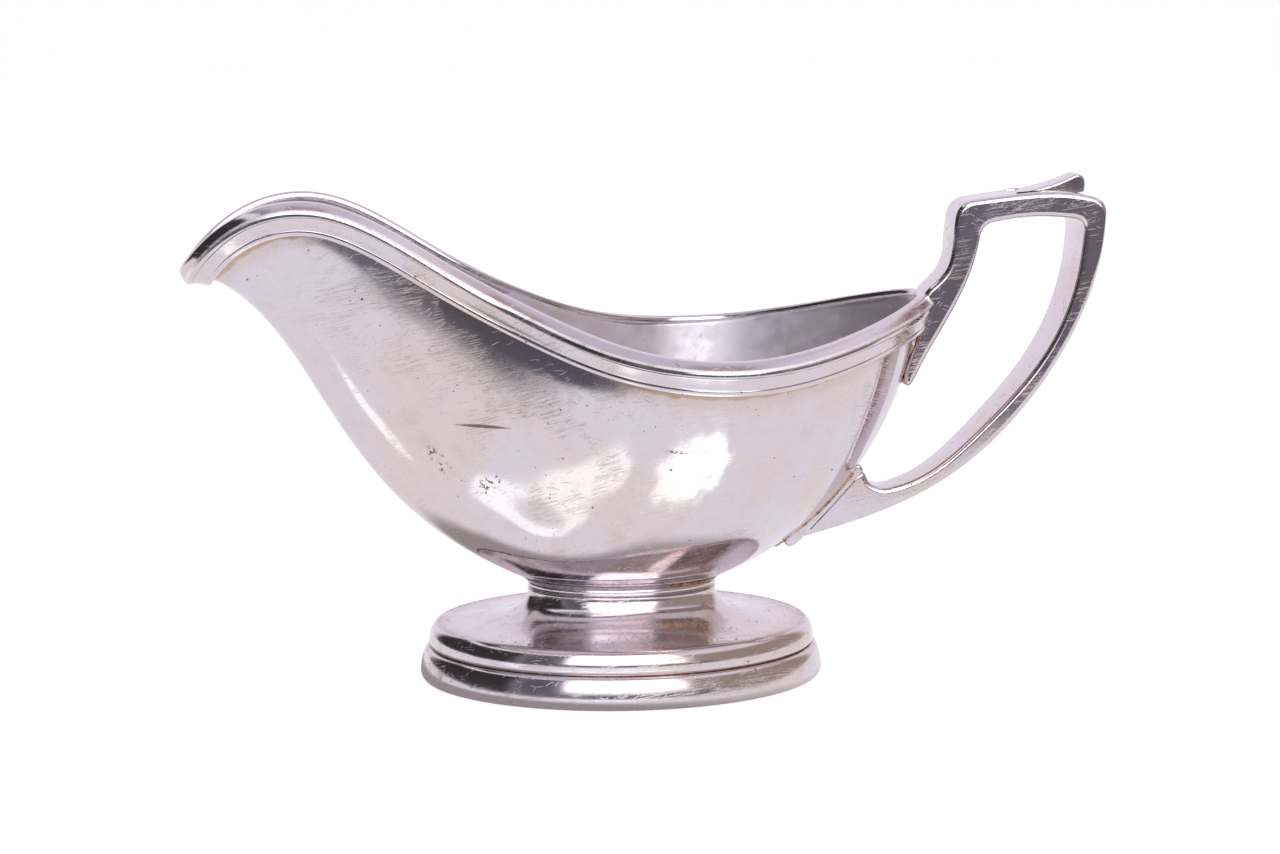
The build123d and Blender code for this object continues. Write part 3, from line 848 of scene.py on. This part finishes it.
# The table as the metal mirrors it, in millimetres.
TABLE_REACH = (450.0, 230.0, 322.0)         # to the right, the left and the front of the foot
TABLE_EDGE = (0.95, 1.05)                   # soft edge, as shares of the squared reach
FRONT_ONLY = (-70, -20)                     # along Y, where the edge gives way to the plain table
# Pools of light as (centre, half sizes, turn in radians, share of POOL_STRENGTH).
LIGHT_POOLS = [((-10, -101), (52, 37), 0.0, 1.0), ((-106, -80), (28, 12), 0.31, 0.75)]
POOL_EDGE = (1.34, 1.5)                     # in half sizes, with the unevenness added
POOL_STRENGTH = 0.7                         # on top of the table's own 1.0
SHADOW_CENTRE = (-11.826, 0.0)
SHADOW_SIZE = (43.8, 33.0)                  # half sizes, about those of the foot's base band
SHADOW_EDGE = (1.02, 1.42)                  # in half sizes
SHADOW_SHARE = 0.92
TABLE_PALE = (0.98, 0.96, 1.0)
TABLE_SHADOW = (0.36, 0.32, 0.32)
TABLE_LIT = (0.94, 1.0, 0.99)
BEYOND_RIGHT = (0.165, 0.155, 0.19)
BEYOND_LEFT = (0.11, 0.11, 0.145)
LEFT_TO_RIGHT = (-110, -60)                 # along X, where the one gives way to the other


def light_pool(tree, mm, centre, half_size, turn, share):
    """Share of a soft, uneven oval pool of window light on the table."""
    reach = tree.oval_distance(mm, (*centre, 0.0), (*half_size, 0.0), (0.0, 0.0, -turn))
    uneven = tree.total(reach, tree.noise(mm, 0.05, 5.0, 0.6))
    return tree.band(uneven, *POOL_EDGE, share, 0.0)


def beyond_table(tree, mm):
    """1 past the table's oval front edge, 0 on the table and behind the boat."""
    x = tree.coordinate(mm, "X")
    y = tree.coordinate(mm, "Y")
    right = tree.math("DIVIDE", x, TABLE_REACH[0])
    left = tree.math("DIVIDE", x, -TABLE_REACH[1])
    front = tree.math("ABSOLUTE", tree.math("DIVIDE", y, TABLE_REACH[2]))
    sideways = tree.most(right, left)
    squares = tree.total(tree.math("POWER", sideways, 2.0), tree.math("POWER", front, 2.0))
    return tree.product(tree.band(squares, *TABLE_EDGE), tree.band(y, *FRONT_ONLY, 1.0, 0.0))


def table_material():
    """Pale table; the metal mirrors its front edge, the pools of light and the foot's shadow."""
    material, tree, mm = new_material("pale_table")
    pool = tree.most(*[light_pool(tree, mm, *pool) for pool in LIGHT_POOLS])
    from_foot = tree.oval_distance(mm, (*SHADOW_CENTRE, 0.0), (*SHADOW_SIZE, 0.0), (0.0, 0.0, 0.0))
    shadow = tree.band(from_foot, *SHADOW_EDGE, SHADOW_SHARE, 0.0)
    colour = tree.colour(shadow, TABLE_PALE, TABLE_SHADOW)
    colour = tree.colour(pool, colour, TABLE_LIT)
    to_the_left = tree.band(tree.coordinate(mm, "X"), *LEFT_TO_RIGHT, 1.0, 0.0)
    beyond = tree.colour(to_the_left, BEYOND_RIGHT, BEYOND_LEFT)
    colour = tree.colour(beyond_table(tree, mm), colour, beyond)
    strength = tree.total(1.0, tree.product(pool, POOL_STRENGTH))
    mirrored = tree.node("ShaderNodeEmission", {"Color": colour, "Strength": strength})
    plain = tree.node("ShaderNodeBsdfPrincipled", {"Base Color": (0.45, 0.44, 0.46, 1), "Roughness": 0.9,
                                                   "Specular IOR Level": 0.0, "Emission Strength": 0.78,
                                                   "Emission Color": (0.97, 0.95, 1.0, 1)})
    glossy = tree.node("ShaderNodeLightPath").outputs["Is Glossy Ray"]
    both = tree.node("ShaderNodeMixShader", {0: glossy, 1: plain.outputs[0], 2: mirrored.outputs[0]})
    tree.node("ShaderNodeOutputMaterial", {"Surface": both.outputs[0]})
    return material


def studio():
    studio_room()
    flat_card("table", 4.0, table_material())


CAMERA_AZIMUTH = -6.1       # degrees, towards the spout
CAMERA_ELEVATION = 9.53     # degrees
CAMERA_DISTANCE = 0.560     # metres, as is the target
CAMERA_TARGET = (0.0040, 0.0, 0.0541)
LENS = 73.08
SENSOR_WIDTH = 36.0


def camera():
    """The camera in front of the boat, a little to its left and above it."""
    azimuth = math.radians(CAMERA_AZIMUTH)
    elevation = math.radians(CAMERA_ELEVATION)
    back = Vector((math.sin(azimuth) * math.cos(elevation), -math.cos(azimuth) * math.cos(elevation),
                   math.sin(elevation)))
    data = bpy.data.cameras.new("camera")
    data.lens = LENS
    data.sensor_width = SENSOR_WIDTH
    data.clip_start = 0.01
    lens = bpy.data.objects.new("camera", data)
    lens.location = Vector(CAMERA_TARGET) + back * CAMERA_DISTANCE
    lens.rotation_mode = "QUATERNION"
    lens.rotation_quaternion = (-back).to_track_quat("-Z", "Y")
    bpy.context.scene.collection.objects.link(lens)
    bpy.context.scene.camera = lens


# --- the object -----------------------------------------------------------------------------------
def place(piece, material, slot, *nodes):
    """Gives a piece its material, ties it to the object and hides the CAD nodes that it stands for."""
    piece.data.materials.append(material)
    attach(piece, "root")
    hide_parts(*nodes)


def build():
    """All visible pieces; the solder is the CAD nodes themselves with a better material."""
    bowl_silver = silver("silver_bowl", bowl_stains, roughness=0.07, wear=0.6)
    border_silver = silver("silver_border", border_stains, wave=0.01, wear=0.6)
    foot_silver = silver("silver_foot", foot_stains, wave=0.012, wear=0.8)
    handle_silver = silver("silver_handle", handle_stains, wave=0.015, wear=0.6)
    bare_solder = solder("solder_bare", -100)
    neck_solder = solder("solder_neck", 8)
    place(bowl(), bowl_silver, "bowl_plate", "bowl")
    place(rim_border("border_near", 0), border_silver, "border_plate", "rim_border_near")
    place(rim_border("border_far", RIM_END), border_silver, "border_plate", "rim_border_far")
    place(neck_collar(), foot_silver, "foot_plate", "neck_collar")
    place(pedestal(), foot_silver, "foot_plate", "foot")
    place(base_band(), foot_silver, "foot_plate", "foot_base_band")
    place(handle(), handle_silver, "handle_plate", "handle")
    place(thumb_piece(), handle_silver, "handle_plate", "thumb_piece")
    place(lower_flange(), handle_silver, "handle_plate", "lower_mount_flange")
    for node, material in (("neck_solder", neck_solder), ("upper_handle_solder", bare_solder),
                           ("lower_handle_solder", bare_solder)):
        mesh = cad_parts[node].data
        mesh.materials.clear()
        mesh.materials.append(material)


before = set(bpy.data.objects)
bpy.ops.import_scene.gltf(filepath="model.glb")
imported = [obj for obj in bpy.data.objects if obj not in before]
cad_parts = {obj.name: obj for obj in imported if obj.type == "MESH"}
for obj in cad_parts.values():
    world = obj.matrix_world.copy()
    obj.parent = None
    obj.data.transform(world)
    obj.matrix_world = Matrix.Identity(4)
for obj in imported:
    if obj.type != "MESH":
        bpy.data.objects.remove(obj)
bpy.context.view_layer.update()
build()
studio()
camera()
bpy.context.scene.view_settings.view_transform = "Standard"
